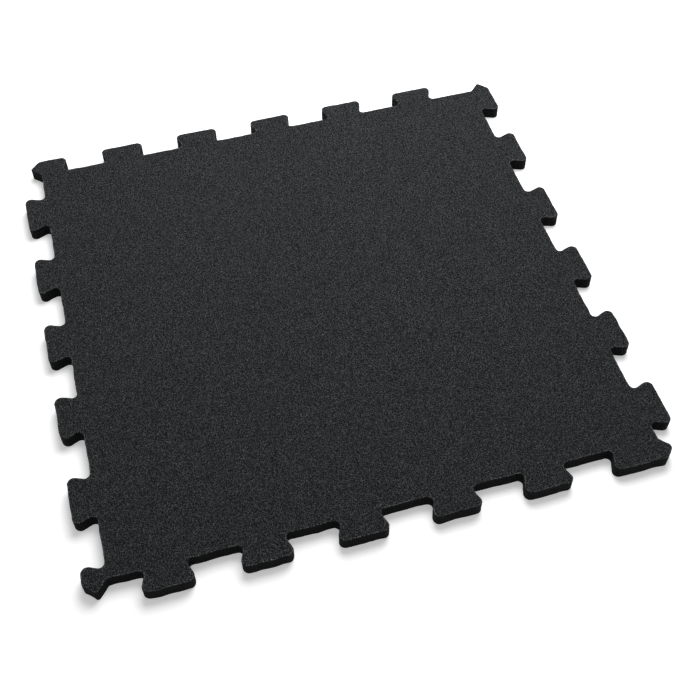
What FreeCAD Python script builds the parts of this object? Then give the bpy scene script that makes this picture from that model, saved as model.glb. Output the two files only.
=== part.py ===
import FreeCAD, Part
import os

import Sketcher

# Interlocking rubber floor tile, one piece of bonded rubber crumb.
# The tile lies flat with its underside on z = 0 and +Z up. The origin is under its middle.
# Each side is drawn in the same local way: x runs anticlockwise along the side and y points inward,
# so the near side is turned by nothing, the right side by 90 degrees, and so on round the tile.
# Laid tiles repeat at the cover width. Between two of them runs a seam that both fill with tabs:
# the rows of opposite sides are half a pitch out of step, and where four tiles meet, the seam's
# square is shared out along its two diagonals, a quarter to each tile's corner piece.

NAME = "rubber_tile"
SHEET = "Sizes"

# Driving sizes in millimetres.
SIZES = {
    "cover_width": (609.6, "What one laid tile covers each way"),
    "seam_width": (25.4, "Width of the seam that the tabs of two tiles fill"),
    "thickness": (15.9, "Thickness of the tile"),
    "fit_gap": (0.5, "Play between a tab and the tab of the next tile"),
    "pitch_across": (99.2, "Tab to tab on the near and far sides"),
    "pitch_along": (105.0, "Tab to tab on the left and right sides"),
    "undercut": (9.6, "How far each flank of a tab leans out over the seam's width"),
    "near_start": (57.0, "Left corner to the centre of the first tab, near side"),
    "right_start": (43.0, "Near corner to the centre of the first tab, right side"),
    "tip_radius": (6.6, "Round of a tab's two tip corners"),
    "root_radius": (5.2, "Round of the inner corners beside a tab's neck"),
    "nose_radius": (2.0, "Round of the point of a corner piece, and of the inner corner behind it"),
    "blunt_nose_radius": (6.0, "Round of the blunter point of the near side's corner piece"),
}

# Sizes that follow from the driving ones, as expressions of the sheet.
DERIVED = {
    "body_width": ("=cover_width - seam_width", "Side of the square that the tabs stand out from"),
    "tab_depth": ("=seam_width - fit_gap", "How far a tab stands out from the body"),
    "lean": ("=undercut / seam_width", "Lean of a flank, across for each step out"),
    "across_neck": ("=pitch_across / 4 - fit_gap / 2 - undercut / 2", "Half a neck, near and far"),
    "along_neck": ("=pitch_along / 4 - fit_gap / 2 - undercut / 2", "Half a neck, left and right"),
    "across_count": ("=floor((body_width - near_start + across_neck) / pitch_across)",
                     "Full tabs on the near side, and as many on the far side"),
    "along_count": ("=floor((body_width - right_start + along_neck) / pitch_along)",
                    "Full tabs on the right side, and as many on the left side"),
    "near_first": ("=near_start", "Start of the near side to its first tab"),
    "right_first": ("=right_start", "Start of the right side to its first tab"),
    "far_first": ("=body_width - near_start - (across_count - 0.5) * pitch_across",
                  "Start of the far side to its first tab"),
    "left_first": ("=body_width - right_start - (along_count - 0.5) * pitch_along",
                   "Start of the left side to its first tab"),
    "seam_middle": ("=seam_width / 2", "Where the two diagonals of the seam's square cross"),
    "saw_gap": ("=fit_gap * sqrt(2) / 2", "Play at a diagonal, measured along a side"),
}

# Each side's name, its turn about the tile's middle in degrees, and the way that it runs.
SIDES = (
    ("near", 0, "across"),
    ("right", 90, "along"),
    ("far", 180, "across"),
    ("left", 270, "along"),
)

TOLERANCE = 0.01


def make_sheet(doc):
    """Write the driving and the derived sizes into the sheet, one alias to a row."""
    sheet = doc.addObject("Spreadsheet::Sheet", SHEET)
    for row, (alias, (value, note)) in enumerate({**SIZES, **DERIVED}.items(), start=1):
        sheet.set("A%d" % row, note)
        sheet.set("B%d" % row, str(value))
        sheet.setAlias("B%d" % row, alias)
    doc.recompute()
    return sheet


def size(alias):
    """Return the words that a bound expression uses for one size of the sheet."""
    return "%s.%s" % (SHEET, alias)


def ground_plane(body):
    """Return the body's own horizontal plane, on which the tile lies."""
    return next(plane for plane in body.Origin.OriginFeatures if plane.Role == "XY_Plane")


def draw_outline(body, name, turn, corners):
    """Draw a closed outline of straight lines whose corners are bound to the sheet.

    The side that it belongs to is turned about the tile's middle by turn degrees, and each corner
    is a pair of expressions for its x and y on that side.
    """
    sketch = body.newObject("Sketcher::SketchObject", name)
    sketch.AttachmentSupport = (ground_plane(body), [""])
    sketch.MapMode = "FlatFace"
    turned = FreeCAD.Rotation(FreeCAD.Vector(0, 0, 1), turn)
    sketch.AttachmentOffset = FreeCAD.Placement(FreeCAD.Vector(), turned)
    count = len(corners)
    spoke = FreeCAD.Vector(1, 0, 0)
    rough = [FreeCAD.Rotation(FreeCAD.Vector(0, 0, 1), 360 * i / count).multVec(spoke) for i in range(count)]
    for i in range(count):
        sketch.addGeometry(Part.LineSegment(rough[i], rough[(i + 1) % count]), False)
    for i in range(count):
        sketch.addConstraint(Sketcher.Constraint("Coincident", i, 2, (i + 1) % count, 1))
    for i, (across, inward) in enumerate(corners):
        for kind, words in (("DistanceX", across), ("DistanceY", inward)):
            number = sketch.addConstraint(Sketcher.Constraint(kind, i, 1, 0.0))
            sketch.setExpression("Constraints[%d]" % number, words)
    return sketch


def pad_outline(body, name, sketch):
    """Raise an outline to the tile's thickness."""
    pad = body.newObject("PartDesign::Pad", name)
    pad.Profile = sketch
    pad.setExpression("Length", size("thickness"))
    return pad


def add_body(body):
    """Add the square plate between the tabs."""
    half = size("body_width") + " / 2"
    corners = [("-" + half, "-" + half), (half, "-" + half), (half, half), ("-" + half, half)]
    pad_outline(body, "plate", draw_outline(body, "plate_outline", 0, corners))


def add_tabs(body, side, turn, way):
    """Add one side's row of dovetail tabs, each wider at its tip than at its neck."""
    base = "-%s / 2" % size("body_width")
    tip_line = "%s - %s" % (base, size("tab_depth"))
    centre = "%s + %s" % (base, size(side + "_first"))
    neck = size(way + "_neck")
    tip = "%s + %s * %s" % (neck, size("lean"), size("tab_depth"))
    corners = [
        ("%s - %s" % (centre, neck), base),
        ("%s - (%s)" % (centre, tip), tip_line),
        ("%s + %s" % (centre, tip), tip_line),
        ("%s + %s" % (centre, neck), base),
    ]
    sketch = draw_outline(body, side + "_tab_outline", turn, corners)
    tab = pad_outline(body, side + "_tab", sketch)
    row = body.newObject("PartDesign::LinearPattern", side + "_tabs")
    row.Originals = [tab]
    row.Direction = (sketch, ["H_Axis"])
    row.setExpression("Occurrences", size(way + "_count"))
    row.setExpression("Length", "%s * (%s - 1)" % (size("pitch_" + way), size(way + "_count")))
    body.Tip = row


def add_corner_piece(body, side, turn, way):
    """Add the part tab that ends one side.

    Its flank is that of the next tab of the row, and past the corner it is cut along the two
    diagonals of the seam's square, with half of the play taken off each cut.
    """
    base = "-%s / 2" % size("body_width")
    end = "%s / 2" % size("body_width")
    tip_line = "%s - %s" % (base, size("tab_depth"))
    flank = "%s + %s + %s * %s - %s" % (
        base, size(side + "_first"), size("pitch_" + way), size(way + "_count"), size(way + "_neck"))
    middle = size("seam_middle")
    play = size("saw_gap")
    corners = [
        (flank, base),
        ("%s - %s * %s" % (flank, size("lean"), size("tab_depth")), tip_line),
        ("%s + %s - %s - %s" % (end, size("seam_width"), size("tab_depth"), play), tip_line),
        ("%s + %s - %s" % (end, middle, play), "%s - %s" % (base, middle)),
        (end, "%s - %s" % (base, play)),
        (end, base),
    ]
    pad_outline(body, side + "_corner", draw_outline(body, side + "_corner_outline", turn, corners))


def upright_edges(shape):
    """Return the number and the foot of each edge that runs straight up."""
    found = []
    for number, edge in enumerate(shape.Edges, start=1):
        low, high = sorted((vertex.Point for vertex in edge.Vertexes), key=lambda point: point.z)
        if (high - low).cross(FreeCAD.Vector(0, 0, 1)).Length < TOLERANCE < high.z - low.z:
            found.append(("Edge%d" % number, low))
    return found


def round_edges(body, name, radius, chosen):
    """Round the upright edges that the test chooses, to the radius in the sheet."""
    base = body.Tip
    edges = [edge for edge, foot in upright_edges(base.Shape) if chosen(foot)]
    fillet = body.newObject("PartDesign::Fillet", name)
    fillet.Base = (base, edges)
    fillet.setExpression("Radius", size(radius))
    body.Tip = fillet
    body.Document.recompute()


def build_tile(doc, sheet):
    """Build the tile: the plate, four rows of tabs, four corner pieces, and the rounds."""
    body = doc.addObject("PartDesign::Body", NAME)
    body.Label = NAME
    add_body(body)
    for side, turn, way in SIDES:
        add_tabs(body, side, turn, way)
        add_corner_piece(body, side, turn, way)
    doc.recompute()
    half = sheet.get("body_width") / 2
    tip_line = half + sheet.get("tab_depth")
    nose_line = half + sheet.get("seam_middle")
    heel_line = half + sheet.get("saw_gap")

    def lies_at(foot, line):
        return abs(max(abs(foot.x), abs(foot.y)) - line) < TOLERANCE

    def is_near_end(foot):
        return foot.x > half > -half > foot.y

    round_edges(body, "tip_rounds", "tip_radius", lambda foot: lies_at(foot, tip_line))
    round_edges(body, "root_rounds", "root_radius", lambda foot: lies_at(foot, half))
    round_edges(body, "nose_rounds", "nose_radius",
                lambda foot: lies_at(foot, nose_line) and not is_near_end(foot))
    round_edges(body, "blunt_nose_round", "blunt_nose_radius",
                lambda foot: lies_at(foot, nose_line) and is_near_end(foot))
    round_edges(body, "heel_rounds", "nose_radius", lambda foot: lies_at(foot, heel_line))
    body.Placement = FreeCAD.Placement(FreeCAD.Vector(0, 0, 0), FreeCAD.Rotation())
    return body


def check(doc, bodies):
    """Stop when anything in the document failed or a piece isn't one sound solid."""
    for item in doc.Objects:
        if "Invalid" in item.State or "Error" in item.State:
            raise RuntimeError("%s failed: %s" % (item.Name, item.State))
    for body in bodies:
        if body.Shape.isNull() or not body.Shape.isValid() or len(body.Shape.Solids) != 1:
            raise RuntimeError("%s is not one valid solid" % body.Label)


def main():
    os.makedirs("parts", exist_ok=True)
    doc = FreeCAD.newDocument("floor_tile")
    sheet = make_sheet(doc)
    bodies = [build_tile(doc, sheet)]
    doc.recompute()
    check(doc, bodies)
    for body in bodies:
        body.Shape.exportStep("parts/%s.step" % body.Label)
        box = body.Shape.BoundBox
        print(body.Label, "volume %.0f mm3" % body.Shape.Volume,
              "box %.1f x %.1f x %.1f mm" % (box.XLength, box.YLength, box.ZLength),
              "x %.1f..%.1f y %.1f..%.1f" % (box.XMin, box.XMax, box.YMin, box.YMax))


main()
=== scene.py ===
import math

import bpy
import numpy as np
from bpy.props import FloatProperty, FloatVectorProperty, IntProperty, PointerProperty
from mathutils import Euler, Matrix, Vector


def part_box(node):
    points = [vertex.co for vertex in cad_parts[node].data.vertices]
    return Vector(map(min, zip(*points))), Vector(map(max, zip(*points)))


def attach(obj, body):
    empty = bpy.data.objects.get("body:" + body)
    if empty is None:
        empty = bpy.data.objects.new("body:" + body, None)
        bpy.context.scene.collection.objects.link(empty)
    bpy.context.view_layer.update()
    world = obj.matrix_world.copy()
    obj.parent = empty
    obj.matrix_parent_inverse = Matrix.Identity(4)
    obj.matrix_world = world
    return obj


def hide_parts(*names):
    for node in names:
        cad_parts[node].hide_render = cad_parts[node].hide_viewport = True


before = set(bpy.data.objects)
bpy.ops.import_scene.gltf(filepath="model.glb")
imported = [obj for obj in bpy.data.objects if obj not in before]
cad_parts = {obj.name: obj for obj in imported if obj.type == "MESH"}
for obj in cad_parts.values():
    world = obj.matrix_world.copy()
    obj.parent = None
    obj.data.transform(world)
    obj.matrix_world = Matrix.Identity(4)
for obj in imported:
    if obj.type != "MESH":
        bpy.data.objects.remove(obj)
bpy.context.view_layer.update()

bl_info = {
    "name": "Interlocking rubber floor tile",
    "version": (1, 0, 0),
    "blender": (4, 5, 0),
    "location": "View3D > Sidebar > Floor Tile",
    "description": "Dresses the packed floor tile with softened edges, cut walls and rubber crumb",
    "category": "Object",
}

TILE_NODE = "rubber_tile"
MM = 0.001


class TileSizes(bpy.types.PropertyGroup):
    """Sizes of the tile's outline and of the softening that it gets here."""

    cover_width: FloatProperty(
        name="Cover width", description="What one laid tile covers each way",
        default=609.6 * MM, unit="LENGTH")
    seam_width: FloatProperty(
        name="Seam width", description="Width of the seam that the tabs of two tiles fill",
        default=25.4 * MM, unit="LENGTH")
    fit_gap: FloatProperty(
        name="Fit gap", description="Play between a tab and the tab of the next tile",
        default=0.5 * MM, unit="LENGTH")
    pitch_across: FloatProperty(
        name="Pitch across", description="Tab to tab on the near and far sides",
        default=99.2 * MM, unit="LENGTH")
    pitch_along: FloatProperty(
        name="Pitch along", description="Tab to tab on the left and right sides",
        default=105.0 * MM, unit="LENGTH")
    undercut: FloatProperty(
        name="Undercut", description="How far a tab's flank leans out over the seam's width",
        default=9.6 * MM, unit="LENGTH")
    near_start: FloatProperty(
        name="Near start", description="Left corner to the first tab of the near side",
        default=57.0 * MM, unit="LENGTH")
    right_start: FloatProperty(
        name="Right start", description="Near corner to the first tab of the right side",
        default=43.0 * MM, unit="LENGTH")
    tab_count: IntProperty(
        name="Full tabs", description="Full tabs on each side", default=5)
    tip_radius: FloatProperty(
        name="Tip round", description="Round of a tab's tip corners",
        default=6.6 * MM, unit="LENGTH")
    root_radius: FloatProperty(
        name="Root round", description="Round of the inner corners beside a tab's neck",
        default=5.2 * MM, unit="LENGTH")
    nose_radius: FloatProperty(
        name="Nose round", description="Round of the point of a corner piece",
        default=2.0 * MM, unit="LENGTH")
    blunt_nose_radius: FloatProperty(
        name="Blunt nose round", description="Round of the point of the near side's corner piece",
        default=6.0 * MM, unit="LENGTH")
    top_edge: FloatProperty(
        name="Upper edge", description="Softening of the edge round the walking face",
        default=0.8 * MM, unit="LENGTH")
    foot_edge: FloatProperty(
        name="Lower edge", description="Softening of the edge round the underside",
        default=0.6 * MM, unit="LENGTH")
    # Painted highlight: how far in from the edge the rim's highlight reaches on the walking face.
    rim_width: FloatProperty(
        name="Rim width", description="How far the worn rim reaches in on the walking face",
        default=1.7 * MM, unit="LENGTH")
    wall_step: FloatProperty(
        name="Wall step", description="Spacing of the mesh on the cut walls",
        default=1.4 * MM, unit="LENGTH")
    wall_relief: FloatProperty(
        name="Wall relief", description="How deep the torn crumbs of a cut wall are",
        default=0.22 * MM, unit="LENGTH")
    cut_wander: FloatProperty(
        name="Cut wander", description="How far the cut strays from its drawn line",
        default=0.44 * MM, unit="LENGTH")


class CrumbLook(bpy.types.PropertyGroup):
    """Colours and grain of the bonded rubber crumb."""

    colour: FloatVectorProperty(
        name="Rubber", description="Colour of the crumbs on the walking face",
        subtype="COLOR", size=3, default=(0.0362, 0.0386, 0.0405))
    crumb: FloatProperty(
        name="Crumb size", description="Usual width of one crumb",
        default=0.62 * MM, unit="LENGTH")
    pit_spacing: FloatProperty(
        name="Pit spacing", description="Usual distance between two dark pits",
        default=1.9 * MM, unit="LENGTH")
    pit_scatter: FloatProperty(
        name="Pit scatter", description="How unevenly the pits are spread",
        default=0.75, subtype="FACTOR")
    contrast: FloatProperty(
        name="Contrast", description="How much lighter and darker the dust on the crumbs is",
        default=9.0)
    cloud: FloatProperty(
        name="Clouds", description="Strength of the broad, faint clouds of tone",
        default=0.12, subtype="FACTOR")
    cloud_width: FloatProperty(
        name="Cloud width", description="Usual width of a cloud of tone",
        default=1 / 14, unit="LENGTH")
    crumb_height: FloatProperty(
        name="Crumb height", description="How far the crumbs stand out in the bump",
        default=1.3 * MM, unit="LENGTH")
    # Painted shade: the cut walls are drawn this much darker than the walking face.
    painted_wall_shade: FloatProperty(
        name="Cut walls", description="Brightness of the cut walls against the walking face",
        default=0.17, subtype="FACTOR")
    # Painted highlight: how much paler the crumbs along the softened upper edge are drawn.
    rim_highlight: FloatProperty(
        name="Rim highlight", description="How much paler the crumbs on the softened edge are",
        default=1.0, subtype="FACTOR")
    roughness: FloatProperty(
        name="Roughness", description="Roughness of the crumb surface",
        default=0.82, subtype="FACTOR")
    gloss_spread: FloatProperty(
        name="Gloss spread", description="How much the roughness differs from crumb to crumb",
        default=0.16, subtype="FACTOR")
    sheen: FloatProperty(
        name="Sheen", description="Strength of the surface's reflection",
        default=0.08, subtype="FACTOR")


class StageLook(bpy.types.PropertyGroup):
    """Floor, light and camera of the picture."""

    floor_colour: FloatProperty(
        name="Floor", description="Brightness of the pale floor",
        default=0.92, subtype="FACTOR")
    floor_glow: FloatProperty(
        name="Floor glow", description="What the floor shows the camera where it lies in shadow",
        default=0.36, subtype="FACTOR")
    floor_fade: FloatProperty(
        name="Floor fade", description="How far from the middle the floor is plain white",
        default=1.15, unit="LENGTH")
    floor_drop: FloatProperty(
        name="Floor drop", description="How far under the tile the floor lies, off its plane",
        default=0.1 * MM, unit="LENGTH")
    floor_width: FloatProperty(
        name="Floor width", description="Side of the square floor",
        default=9.0, unit="LENGTH")
    dome: FloatProperty(
        name="Dome light", description="Strength of the light from all round", default=0.25)
    lamp: FloatProperty(
        name="Lamp", description="Power of the soft lamp behind the tile on the right, in watts",
        default=20.5)
    lamp_width: FloatProperty(
        name="Lamp width", description="Width of the soft lamp", default=1.2, unit="LENGTH")
    lamp_place: FloatVectorProperty(
        name="Lamp place", description="Where the soft lamp hangs",
        subtype="TRANSLATION", size=3, default=(0.35, 0.53, 0.98))
    lens: FloatProperty(
        name="Lens", description="Focal length of the camera in millimetres", default=56.638)
    place: FloatVectorProperty(
        name="Camera place", description="Where the camera stands",
        subtype="TRANSLATION", size=3, default=(-0.18592, -0.80469, 0.99883))
    turn: FloatVectorProperty(
        name="Camera turn", description="How the camera is turned",
        subtype="EULER", size=3,
        default=(math.radians(37.157), math.radians(0.429), math.radians(-15.815)))


class Shade:
    """A socket of a node tree, on which written sums and products add Math nodes."""

    def __init__(self, tree, socket=None):
        self.tree = tree
        self.socket = socket

    def node(self, kind, settings=None, values=None, output=0):
        """Add one node: its settings are set first, then the values or links of its sockets."""
        made = self.tree.nodes.new(kind)
        for name, value in (settings or {}).items():
            setattr(made, name, value)
        for name, value in (values or {}).items():
            if isinstance(value, Shade):
                self.tree.links.new(value.socket, made.inputs[name])
            else:
                made.inputs[name].default_value = value
        return Shade(self.tree, made.outputs[output] if made.outputs else None)

    def math(self, operation, *values):
        """Add a Math node over numbers and sockets."""
        return self.node("ShaderNodeMath", {"operation": operation}, dict(enumerate(values)))

    def ramp(self, low, high):
        """Carry a value smoothly from 0 at low to 1 at high."""
        settings = {"interpolation_type": "SMOOTHSTEP"}
        return self.node("ShaderNodeMapRange", settings, {0: self, 1: low, 2: high})

    def __add__(self, other):
        return self.math("ADD", self, other)

    __radd__ = __add__

    def __sub__(self, other):
        return self.math("SUBTRACT", self, other)

    def __rsub__(self, other):
        return self.math("SUBTRACT", other, self)

    def __mul__(self, other):
        return self.math("MULTIPLY", self, other)

    __rmul__ = __mul__

    def __abs__(self):
        return self.math("ABSOLUTE", self)


def side_corners(sizes, first, pitch, point):
    """Corners of one side as rows of way along, way out and round.

    The full tabs repeat four corners at the pitch. The corner piece that ends the side has the
    flank of the next tab, a tip line, a nose on the middle of the seam's square, and a heel.
    """
    body = sizes.cover_width - sizes.seam_width
    depth = sizes.seam_width - sizes.fit_gap
    lean = sizes.undercut / sizes.seam_width * depth
    neck = pitch / 4 - sizes.fit_gap / 2 - sizes.undercut / 2
    play = sizes.fit_gap * math.sqrt(2) / 2
    root, tip = sizes.root_radius, sizes.tip_radius
    tab = np.array([
        (-neck, 0, root),
        (-neck - lean, depth, tip),
        (neck + lean, depth, tip),
        (neck, 0, root),
    ])
    centres = np.zeros((sizes.tab_count, 1, 3))
    centres[:, 0, 0] = first + pitch * np.arange(sizes.tab_count)
    flank = first + pitch * sizes.tab_count - neck
    middle = sizes.seam_width / 2
    ending = np.array([
        (flank, 0, root),
        (flank - lean, depth, tip),
        (body + sizes.seam_width - depth - play, depth, tip),
        (body + middle - play, middle, point),
        (body, play, sizes.nose_radius),
    ])
    return np.vstack([(centres + tab).reshape(-1, 3), ending])


def outline_corners(sizes):
    """Corners of the whole outline, anticlockwise, as rows of x, y and round.

    Each side's corners are moved to the side's place and turned a quarter turn after the last.
    Opposite rows are half a pitch out of step, so that laid tiles lock.
    """
    body = sizes.cover_width - sizes.seam_width
    half_step = sizes.tab_count - 0.5
    across, along, sharp = sizes.pitch_across, sizes.pitch_along, sizes.nose_radius
    sides = (
        (sizes.near_start, across, sizes.blunt_nose_radius),
        (sizes.right_start, along, sharp),
        (body - sizes.near_start - half_step * across, across, sharp),
        (body - sizes.right_start - half_step * along, along, sharp),
    )
    rows = []
    for quarter, (first, pitch, point) in enumerate(sides):
        corners = side_corners(sizes, first, pitch, point)
        flat = (corners[:, 0] - body / 2) - 1j * (corners[:, 1] + body / 2)
        flat = flat * 1j ** quarter
        rows.append(np.column_stack([flat.real, flat.imag, corners[:, 2]]))
    return np.vstack(rows)


def rounded_path(corners, step, arc_steps=24):
    """Closed path round the corners, as points spaced evenly by about one step.

    At each corner the path leaves its straight run one tangent length before the corner and
    follows an arc of that corner's radius. The tangent length is the radius divided by the
    tangent of half the angle between the two runs. The arcs' points are then spaced out evenly
    by their distance along the path.
    """
    point = corners[:, 0] + 1j * corners[:, 1]
    radius = corners[:, 2]
    back = np.roll(point, 1) - point
    ahead = np.roll(point, -1) - point
    back = back / abs(back)
    ahead = ahead / abs(ahead)
    half_angle = abs(np.angle(ahead / back)) / 2
    middle = (back + ahead) / abs(back + ahead)
    centre = point + middle * radius / np.sin(half_angle)
    start = point + back * radius / np.tan(half_angle) - centre
    end = point + ahead * radius / np.tan(half_angle) - centre
    turn = np.angle(end / start)[:, None] * np.linspace(0, 1, arc_steps)[None, :]
    path = (centre[:, None] + start[:, None] * np.exp(1j * turn)).ravel()
    closed = np.append(path, path[0])
    along = np.append(0, np.cumsum(abs(np.diff(closed))))
    count = int(along[-1] / step)
    even = np.linspace(0, along[-1], count, endpoint=False)
    return np.interp(even, along, closed.real) + 1j * np.interp(even, along, closed.imag)


def outward(path):
    """Outward direction at each point of an anticlockwise path: its heading turned clockwise."""
    heading = np.roll(path, -1) - np.roll(path, 1)
    return -1j * heading / abs(heading)


def wall_profile(sizes, thickness):
    """Section of a wall from the underside to the walking face, as insets, heights and rim.

    A quarter circle at the foot, a straight run, a quarter circle at the upper edge, and two
    rings in from it on the walking face. The rim, which masks the painted highlight, rises
    from 0 to 1 over the upper edge, stays, and falls back to 0 at the last ring.
    """
    turn = np.linspace(0, math.pi / 2, 5)
    foot, top = sizes.foot_edge, sizes.top_edge
    rows = int((thickness - foot - top) / sizes.wall_step)
    run = np.linspace(foot, thickness - top, rows + 1)[1:-1]
    rings = np.array([top + (sizes.rim_width - top) / 2, sizes.rim_width])
    inset = np.concatenate([foot * (1 - np.sin(turn)), 0 * run, top * (1 - np.cos(turn)), rings])
    lower, upper = foot * (1 - np.cos(turn)), thickness - top * (1 - np.sin(turn))
    height = np.concatenate([lower, run, upper, 0 * rings + thickness])
    rim = np.concatenate([0 * turn, 0 * run, np.sin(turn), [1.0, 0.0]])
    return inset, height, rim


def blurred(field, times):
    """A field that runs round the path, each time averaged with its neighbours on both sides."""
    for _ in range(times):
        field = (2 * field + np.roll(field, 1, -1) + np.roll(field, -1, -1)) / 4
    return field / field.std()


def crumb_relief(rows, columns, depth, wander, seed):
    """Seeded rough field for the cut walls, closed round the path.

    Single crumbs are random heights, blurred once with their neighbours, which fade out at both
    edges. The cut's wander is a smoother random line that all heights share.
    """
    noise = np.random.default_rng(seed)
    crumbs = blurred(noise.normal(size=(rows, columns)), 1)
    fade = np.sin(np.linspace(0, math.pi, rows))[:, None] ** 0.5
    line = blurred(noise.normal(size=columns), 14)
    return depth * crumbs * fade / 2 + wander * line[None, :] / 2


def make_mesh_object(name, points, faces, smooth, material):
    """Put arrays of points and faces into a new object with one material."""
    mesh = bpy.data.meshes.new(name)
    mesh.from_pydata(points, [], faces)
    mesh.polygons.foreach_set("use_smooth", smooth)
    mesh.materials.append(material)
    mesh.update()
    made = bpy.data.objects.new(name, mesh)
    bpy.context.scene.collection.objects.link(made)
    return made


def make_tile_surface(sizes, thickness, material):
    """The tile as one closed surface: the wall's profile carried round the outline.

    The point at path place u and profile place v is the outline's point, moved in by the
    profile's inset and out by the relief, at the profile's height. The two end rings are
    closed by one flat face each.
    """
    path = rounded_path(outline_corners(sizes), sizes.wall_step)
    inset, height, rim = wall_profile(sizes, thickness)
    rows, columns = len(height), len(path)
    relief = crumb_relief(rows, columns, sizes.wall_relief, sizes.cut_wander, seed=7)
    flat = path[None, :] + outward(path)[None, :] * (relief - inset[:, None])
    points = np.stack([flat.real, flat.imag, np.broadcast_to(height[:, None], flat.shape)], axis=-1)
    index = np.arange(rows * columns).reshape(rows, columns)
    ahead = np.roll(index, -1, axis=1)
    quads = np.stack([index[:-1], ahead[:-1], ahead[1:], index[1:]], axis=-1).reshape(-1, 4)
    faces = quads.tolist() + [index[0, ::-1].tolist(), index[-1].tolist()]
    smooth = [True] * len(quads) + [False, False]
    tile = make_mesh_object("crumb_tile", points.reshape(-1, 3).tolist(), faces, smooth, material)
    # The rim attribute masks the painted highlight along the upper edge.
    highlighted = tile.data.attributes.new("rim", "FLOAT", "POINT")
    highlighted.data.foreach_set("value", np.repeat(rim, columns))
    return tile


def empty_material(name):
    """A new material with no nodes, and the start of its node tree."""
    material = bpy.data.materials.new(name)
    material.use_nodes = True
    material.node_tree.nodes.clear()
    return material, Shade(material.node_tree)


def crumb_material(look):
    """Bonded rubber crumb: cells of lighter and darker crumbs, rough and slightly raised.

    Each crumb has a tone of its own, mostly dark and seldom light, and fades towards its edge.
    Fine dust, faint broad clouds and dark pits lie over the crumbs. The cut walls are told by
    their normal and get painted shade, deepest at the foot, and the rim along the upper edge
    gets a painted highlight.
    """
    material, base = empty_material("bonded_rubber_crumb")
    place = base.node("ShaderNodeTexCoord", output=3)

    crumbs = {"Vector": place, "Scale": 1 / look.crumb, "Randomness": 1.0}
    cell = base.node("ShaderNodeTexVoronoi", {"feature": "F1"}, crumbs, 1)
    reach = base.node("ShaderNodeTexVoronoi", {"feature": "F1"}, crumbs, 0)
    chance = base.node("ShaderNodeSeparateColor", values={"Color": cell}, output=0)
    gloss = base.node("ShaderNodeSeparateColor", values={"Color": cell}, output=1)
    fine = {"Vector": place, "Scale": 2.2 / look.crumb, "Detail": 3.0}
    dust = base.node("ShaderNodeTexNoise", values=fine)
    broad = {"Vector": place, "Scale": 1 / look.cloud_width, "Detail": 4.0}
    cloud = base.node("ShaderNodeTexNoise", values=broad)
    pits = {"Vector": place, "Scale": 1 / look.pit_spacing, "Randomness": look.pit_scatter}
    pit = base.node("ShaderNodeTexVoronoi", {"feature": "F1"}, pits, 0).ramp(0.16, 0.62)

    normal = base.node("ShaderNodeNewGeometry", output=1)
    up = abs(base.node("ShaderNodeSeparateXYZ", values={"Vector": normal}, output=2))
    face = up.ramp(0.2, 0.9)
    # Painted shade at the walls' foot, where the tile meets the floor: strongest at the underside,
    # gone 4 mm up.
    level = base.node("ShaderNodeSeparateXYZ", values={"Vector": place}, output=2)
    foot = level.ramp(-1.0 * MM, 4.0 * MM)
    # Mask of the painted highlight along the softened upper edge.
    rim = base.node("ShaderNodeAttribute", {"attribute_name": "rim"}, output=2)

    tone = (0.22 + chance * chance * 2.7) * (0.02 + 1.35 * pit)
    speckle = 1 + look.contrast * (dust - 0.5) + look.cloud * (cloud - 0.5)
    speckle = base.math("MAXIMUM", speckle, 0.06) * tone * (1.25 - 0.9 * reach)
    # Painted shade on the cut walls, deepened towards the foot.
    wall = look.painted_wall_shade * (0.45 + 0.55 * foot)
    # The rim's painted highlight brightens the crumbs along the upper edge.
    shade = speckle * (wall + (1 - wall) * face) * (1 + look.rim_highlight * rim)
    tint = base.node("ShaderNodeVectorMath", {"operation": "SCALE"}, {0: look.colour, 3: shade})

    height = 0.7 * (1 - reach) + 0.5 * dust + 0.6 * chance
    relief = {"Strength": 1.0, "Distance": look.crumb_height, "Height": height}
    bump = base.node("ShaderNodeBump", values=relief)
    rough = look.roughness + look.gloss_spread * (gloss - 0.5)
    surface = base.node("ShaderNodeBsdfPrincipled", values={
        "Base Color": tint, "Roughness": rough, "Normal": bump, "Specular IOR Level": look.sheen})
    base.node("ShaderNodeOutputMaterial", values={"Surface": surface})
    return material


def seen_directly(base):
    """1 where a ray comes from the camera, a mirror or clear glass, and 0 elsewhere."""
    camera = base.node("ShaderNodeLightPath", output=0)
    glossy = base.node("ShaderNodeLightPath", output=3)
    clear = base.node("ShaderNodeLightPath", output=6)
    return base.math("MAXIMUM", base.math("MAXIMUM", camera, glossy), clear)


def floor_material(look):
    """Pale floor that takes the tile's shadow and fades to plain white away from it.

    From below there is nothing to see of it, so that the tile's underside shows.
    """
    material, base = empty_material("pale_floor")
    white = (look.floor_colour, look.floor_colour, look.floor_colour, 1.0)
    matt = base.node("ShaderNodeBsdfDiffuse", values={"Color": white})
    seen = seen_directly(base)
    glow = base.node("ShaderNodeEmission", values={"Strength": look.floor_glow * seen})
    both = base.node("ShaderNodeAddShader", values={0: matt, 1: glow})
    place = base.node("ShaderNodeTexCoord", output=3)
    distance = base.node("ShaderNodeVectorMath", {"operation": "LENGTH"}, {0: place}, 1)
    plain = base.node("ShaderNodeEmission")
    fade = seen * distance.ramp(0.4 * look.floor_fade, look.floor_fade)
    front = base.node("ShaderNodeMixShader", values={0: fade, 1: both, 2: plain})
    below = base.node("ShaderNodeNewGeometry", output=6)
    nothing = base.node("ShaderNodeBsdfTransparent")
    surface = base.node("ShaderNodeMixShader", values={0: below, 1: front, 2: nothing})
    base.node("ShaderNodeOutputMaterial", values={"Surface": surface})
    return material


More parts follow.
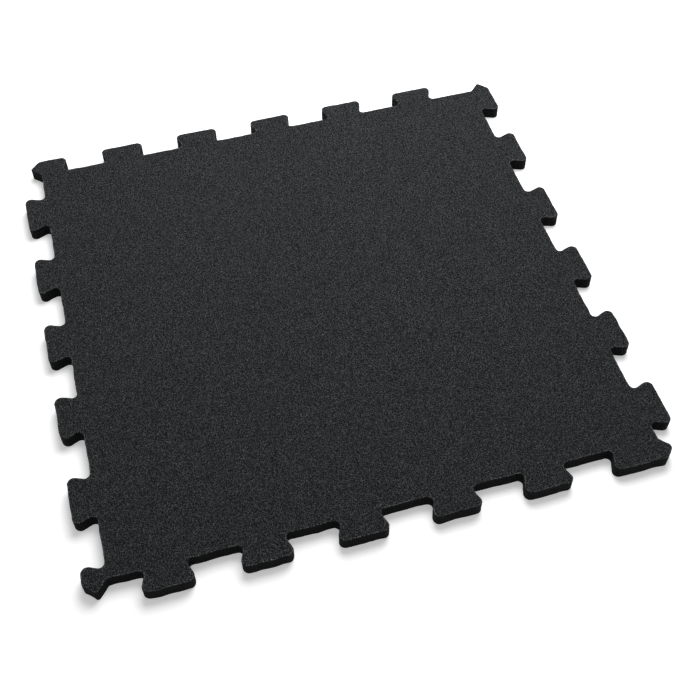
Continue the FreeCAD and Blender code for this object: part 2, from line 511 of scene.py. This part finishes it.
class TILE_OT_make_tile(bpy.types.Operator):
    """Make the tile's softened surface and give it the rubber crumb"""

    bl_idname = "floor_tile.make_tile"
    bl_label = "Make the tile"

    def execute(self, context):
        sizes, look = context.scene.tile_sizes, context.scene.crumb_look
        low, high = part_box(TILE_NODE)
        tile = make_tile_surface(sizes, high.z - low.z, crumb_material(look))
        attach(tile, "root")
        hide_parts(TILE_NODE)
        return {"FINISHED"}


class TILE_OT_make_stage(bpy.types.Operator):
    """Make the floor, the light and the camera"""

    bl_idname = "floor_tile.make_stage"
    bl_label = "Make the stage"

    def execute(self, context):
        look = context.scene.stage_look
        half, low = look.floor_width / 2, -look.floor_drop
        square = [(-half, -half, low), (half, -half, low), (half, half, low), (-half, half, low)]
        floor = make_mesh_object("floor", square, [(0, 1, 2, 3)], [False], floor_material(look))
        self.light_world(context.scene, look)
        self.add_lamp(context.scene, look)
        self.add_camera(context.scene, look)
        context.scene.view_settings.view_transform = "Standard"
        return {"FINISHED"}

    def light_world(self, scene, look):
        """Light from all round, which reads as plain white where it is seen."""
        world = bpy.data.worlds.new("soft_studio")
        world.use_nodes = True
        world.node_tree.nodes.clear()
        base = Shade(world.node_tree)
        seen = seen_directly(base)
        strength = seen + look.dome * (1 - seen)
        plain = {"Strength": strength, "Color": (1.0, 1.0, 1.0, 1.0)}
        backdrop = base.node("ShaderNodeBackground", values=plain)
        base.node("ShaderNodeOutputWorld", values={"Surface": backdrop})
        scene.world = world

    def add_lamp(self, scene, look):
        """One large soft lamp behind the tile on the right."""
        light = bpy.data.lights.new("soft_lamp", "AREA")
        light.shape = "DISK"
        light.size = look.lamp_width
        light.energy = look.lamp
        lamp = bpy.data.objects.new("soft_lamp", light)
        lamp.location = look.lamp_place
        lamp.rotation_euler = (-lamp.location).to_track_quat("-Z", "Y").to_euler()
        scene.collection.objects.link(lamp)

    def add_camera(self, scene, look):
        """The picture's camera."""
        lens = bpy.data.cameras.new("camera")
        lens.lens = look.lens
        lens.sensor_width = 36.0
        camera = bpy.data.objects.new("camera", lens)
        camera.location = Vector(look.place)
        camera.rotation_euler = Euler(look.turn, "XYZ")
        scene.collection.objects.link(camera)
        scene.camera = camera


class TILE_PT_panel(bpy.types.Panel):
    """Sizes, looks and steps of the floor tile"""

    bl_label = "Floor Tile"
    bl_idname = "TILE_PT_panel"
    bl_space_type = "VIEW_3D"
    bl_region_type = "UI"
    bl_category = "Floor Tile"

    def draw(self, context):
        for group in (context.scene.tile_sizes, context.scene.crumb_look, context.scene.stage_look):
            box = self.layout.box()
            for name in group.__annotations__:
                box.prop(group, name)
        for step in STEPS:
            self.layout.operator(step.bl_idname)


STEPS = (TILE_OT_make_tile, TILE_OT_make_stage)
GROUPS = {"tile_sizes": TileSizes, "crumb_look": CrumbLook, "stage_look": StageLook}


def register():
    for group in GROUPS.values():
        bpy.utils.register_class(group)
    for name, group in GROUPS.items():
        setattr(bpy.types.Scene, name, PointerProperty(type=group))
    for step in (*STEPS, TILE_PT_panel):
        bpy.utils.register_class(step)


def unregister():
    for step in (TILE_PT_panel, *STEPS):
        bpy.utils.unregister_class(step)
    for name in GROUPS:
        delattr(bpy.types.Scene, name)
    for group in GROUPS.values():
        bpy.utils.unregister_class(group)


def main():
    """Register the classes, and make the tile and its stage."""
    register()
    bpy.ops.floor_tile.make_tile()
    bpy.ops.floor_tile.make_stage()


if __name__ == "__main__":
    main()
